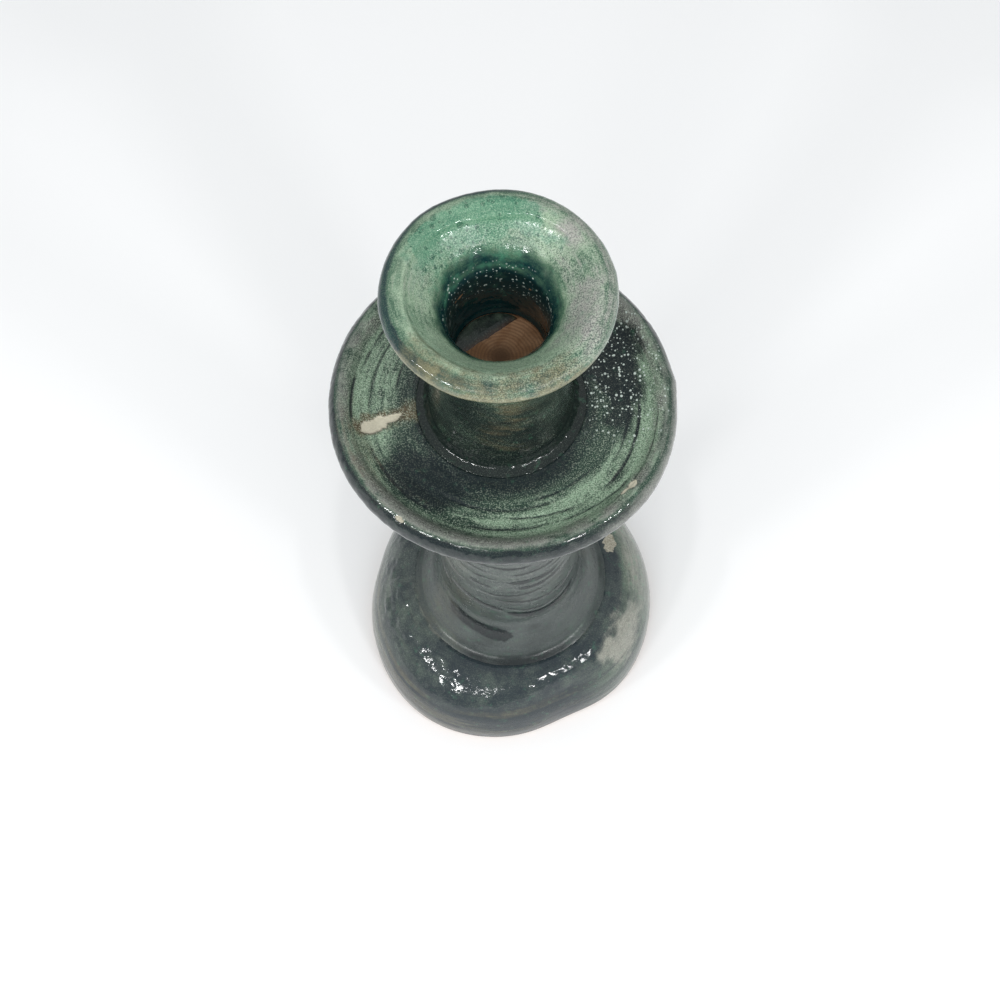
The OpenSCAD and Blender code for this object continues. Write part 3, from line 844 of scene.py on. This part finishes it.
def clay_piece(node, material, spacing, carve=None):
    """A turned clay section, its corners eased, with throwing rings carved by a function."""
    line, meets_axis = OUTLINES[node]
    parts = [fair(p, spacing) for p in stretches(line, not meets_axis, 35)]
    rows = np.concatenate([p[:-1] for p in parts] + ([parts[-1][-1:]] if meets_axis else []))
    for _ in range(2):
        eased = (np.roll(rows, 1, axis=0) + 2 * rows + np.roll(rows, -1, axis=0)) / 4
        if meets_axis:
            eased[[0, -1]] = rows[[0, -1]]
        rows = eased
    if meets_axis:
        rows = rows[1:-1]
    columns = int(2 * math.pi * rows[:, 0].max() / (spacing * 1.2))
    r, z, angle = rows[:, :1], rows[:, 1:], angles(columns)[None, :]
    if carve:
        r, z = carve(r, z, angle)
    grid = thrown(r, z, angle)
    mesh = make_mesh("fired_" + node, grid, meets_axis, meets_axis, not meets_axis, {})
    return finish_piece(node, mesh, material)


def pool_piece(material):
    """The glaze that ran down the bore and set against one side of the socket floor."""
    low, high = (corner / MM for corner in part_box("floor_glaze"))
    rows, columns = 60, 240
    round_r = BORE_R - 0.45
    toward = np.array([math.cos(POOL_SIDE), math.sin(POOL_SIDE)])
    centre = toward * (POOL_EDGE + round_r) / 2
    angle = angles(columns)
    ray = np.stack([np.cos(angle), np.sin(angle)], axis=-1)
    ahead, facing = ray @ centre, ray @ toward
    to_wall = -ahead + np.sqrt(ahead ** 2 + round_r ** 2 - centre @ centre)
    to_edge = np.where(facing < -1e-6, (POOL_EDGE - centre @ toward) / np.minimum(facing, -1e-6), 1e3)
    share = np.linspace(0.02, 1, rows)[:, None, None]
    flat = centre + share * (np.minimum(to_wall, to_edge)[:, None] * ray)
    at = np.concatenate([flat, np.zeros(flat.shape[:2] + (1,))], axis=-1)
    reach = flat @ toward - POOL_EDGE
    flat = flat - toward * (0.8 * layers(at / 3, 71, 4) * step(2.5, 0, reach))[..., None]
    rounded = np.sqrt(np.clip(reach / 2.6, 0, 1))
    top = low.z - 0.2 + (high.z - low.z + 0.2) * rounded * (0.72 + 0.28 * step(1, 6, reach))
    upper = np.concatenate([flat, top[..., None]], axis=-1)
    lower = np.concatenate([flat, np.full_like(top, low.z - 0.3)[..., None]], axis=-1)[::-1]
    grid = np.concatenate([upper, lower])
    masks = {m: np.zeros(grid.shape[:2]) for m in MASKS}
    masks["mint_and_glint"][:rows] = (0.50 + 0.6 * layers(at / 3, 72)) * step(1.5, 4, reach) * step(12, 7, reach)
    masks["rust"][:rows] = step(2.6, 0.6, reach) * 0.9
    masks["pool"][:rows] = np.clip(0.4 + 0.4 * layers(at / 2.5, 78), 0, 1)
    masks["grit"] += 0.15
    masks["ring"] = grid.copy()
    mesh = make_mesh("fired_floor_glaze", grid, True, True, False, masks)
    return finish_piece("floor_glaze", mesh, material)


def floor_rings(r, z, angle):
    """Throwing rings on the socket floor."""
    on_floor = step(FLOOR_Z - 0.6, FLOOR_Z - 0.1, z) * step(BORE_R, BORE_R - 2, r)
    at = np.stack(np.broadcast_arrays(r * np.cos(angle), r * np.sin(angle), z), axis=-1)
    wave = np.sin(2 * math.pi * (r + 0.5 * layers(at / 6, 81)) / 1.2)
    return r + 0 * angle, z + on_floor * 0.10 * wave


slate = glaze_material("slate_glaze", (64, 72, 71), (38, 47, 52), (88, 101, 90), (142, 142, 132),
                       (90, 88, 74), 0.06)
shade = glaze_material("stem_glaze", (64, 71, 70), (22, 29, 31), (76, 89, 82), (90, 93, 92),
                       (80, 80, 70), 0.24)
speckled = glaze_material("pan_glaze", (46, 68, 56), (17, 29, 32), (140, 166, 140), (122, 124, 118))
dark_green = glaze_material("neck_glaze", (34, 50, 42), (16, 27, 25), (72, 96, 76), (78, 84, 78),
                            (76, 68, 50))
mint_and_glint = glaze_material("cup_glaze", (76, 108, 86), (11, 46, 49), (156, 180, 152), (160, 158, 153),
                      (122, 120, 92))
brown = glaze_material("floor_glaze", (46, 56, 50), (20, 32, 31), (74, 90, 76), (84, 80, 62),
                       (64, 46, 32))
terracotta = clay_material("terracotta", (174, 135, 101), (148, 110, 78))
slip_clay = clay_material("slip_clay", (140, 100, 76), (120, 84, 60))

foot_coat().piece(slate)
stem_coat().piece(shade)
pan_coat().piece(speckled)
neck_coat().piece(dark_green)
cup_coat().piece(mint_and_glint)
pool_piece(brown)
for section in ("foot", "stem", "drip_pan", "cup_lip"):
    clay_piece(section, terracotta, 1.0)
clay_piece("candle_socket", terracotta, 0.5, floor_rings)
for seam in ("foot_stem_slip", "stem_pan_slip", "pan_socket_slip", "socket_lip_slip"):
    clay_piece(seam, slip_clay, 0.5)

make_camera()
make_stage()
